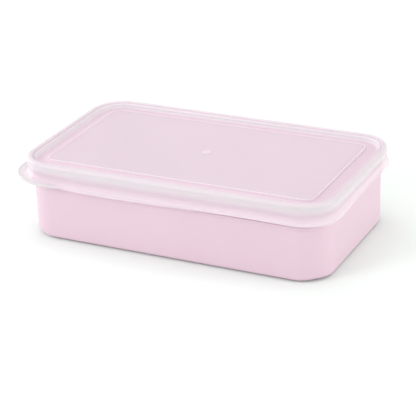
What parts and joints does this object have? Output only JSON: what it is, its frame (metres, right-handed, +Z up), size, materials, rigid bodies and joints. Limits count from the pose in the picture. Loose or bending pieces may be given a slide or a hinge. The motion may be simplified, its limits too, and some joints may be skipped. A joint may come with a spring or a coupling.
{
  "type": "soap loaf mould",
  "caption": "Shallow rectangular soap loaf mould with rounded corners: an open pink plastic tray and a frosted press-fit lid with a corner pull tab",
  "frame": {"origin": "centre of the tray's flat underside, which is what the mould stands on", "axes": "+X along the loaf, the long way of the tray; +Y across it; +Z up, the way the lid lifts off. The pull tab is on the -X -Y corner"},
  "size_m": [0.2404, 0.1424, 0.0584],
  "materials": {
    "tray_plastic": "satin pink polypropylene, opaque",
    "lid_plastic": "frosted translucent soft polyethylene, satin"
  },
  "bodies": {
    "tray": {"mould_tray": "tray_plastic"},
    "lid": {"snap_lid": "lid_plastic"}
  },
  "joints": [
    {"name": "lid_lift", "type": "slide", "parent": "tray", "child": "lid", "axis": [0, 0, 1], "range_m": [0, 0.08]}
  ]
}
